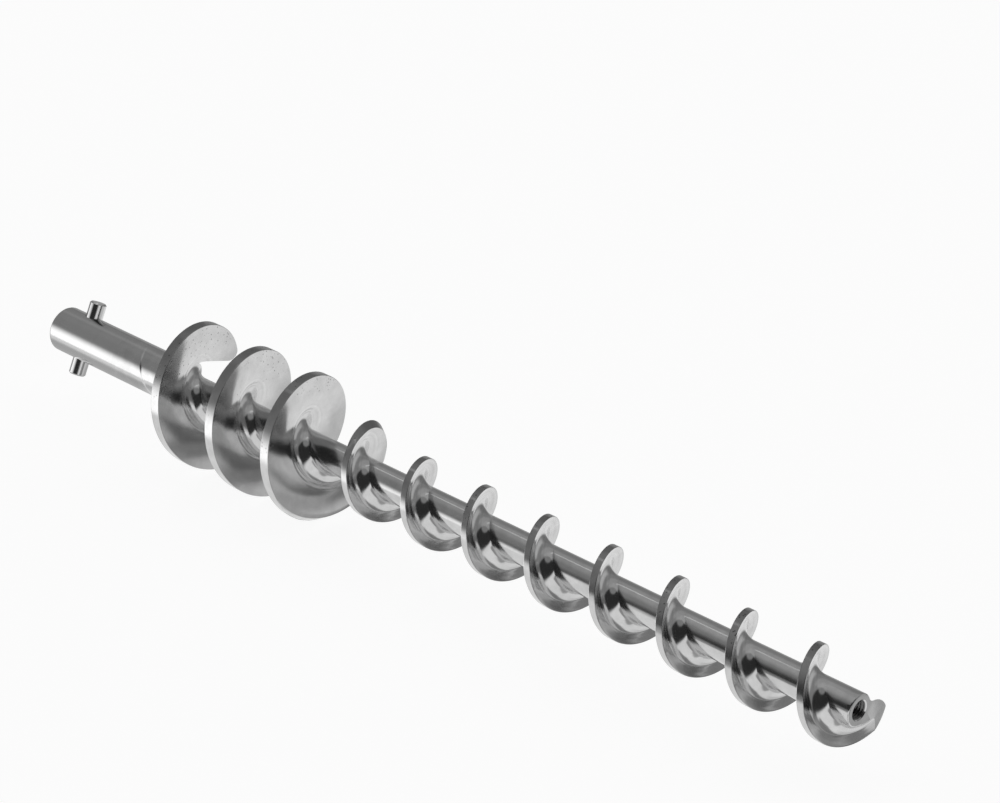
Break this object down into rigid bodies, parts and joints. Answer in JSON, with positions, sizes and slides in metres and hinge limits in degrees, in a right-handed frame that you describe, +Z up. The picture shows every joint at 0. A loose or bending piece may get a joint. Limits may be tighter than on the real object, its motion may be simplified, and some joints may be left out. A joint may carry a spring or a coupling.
{
  "type": "conveyor screw",
  "caption": "Right-hand conveyor screw with a pinned round drive shank, a conical step from large to small flighting and a tapped tip.",
  "frame": {"origin": "centre of the drive shank's flat end face", "axes": "+X along the screw's axis from the drive end to the tip; +Z up; the flighting is right-handed about +X"},
  "size_m": [0.475, 0.0634, 0.0634],
  "materials": {
    "shank_steel": "ground and polished",
    "pin_steel": "bright ground",
    "core_steel": "polished",
    "flight_steel": "polished with faint turning marks"
  },
  "bodies": {
    "root": {"drive_shank": "shank_steel", "cross_pin": "pin_steel", "helical_shoulder": "shank_steel", "feed_core": "core_steel", "metering_core": "core_steel", "tip_core": "core_steel", "large_flight_1": "flight_steel", "large_flight_2": "flight_steel", "large_flight_3": "flight_steel", "step_flight": "flight_steel", "small_flight_1": "flight_steel", "small_flight_2": "flight_steel", "small_flight_3": "flight_steel", "small_flight_4": "flight_steel", "small_flight_5": "flight_steel", "small_flight_6": "flight_steel", "small_flight_7": "flight_steel"}
  },
  "joints": []
}
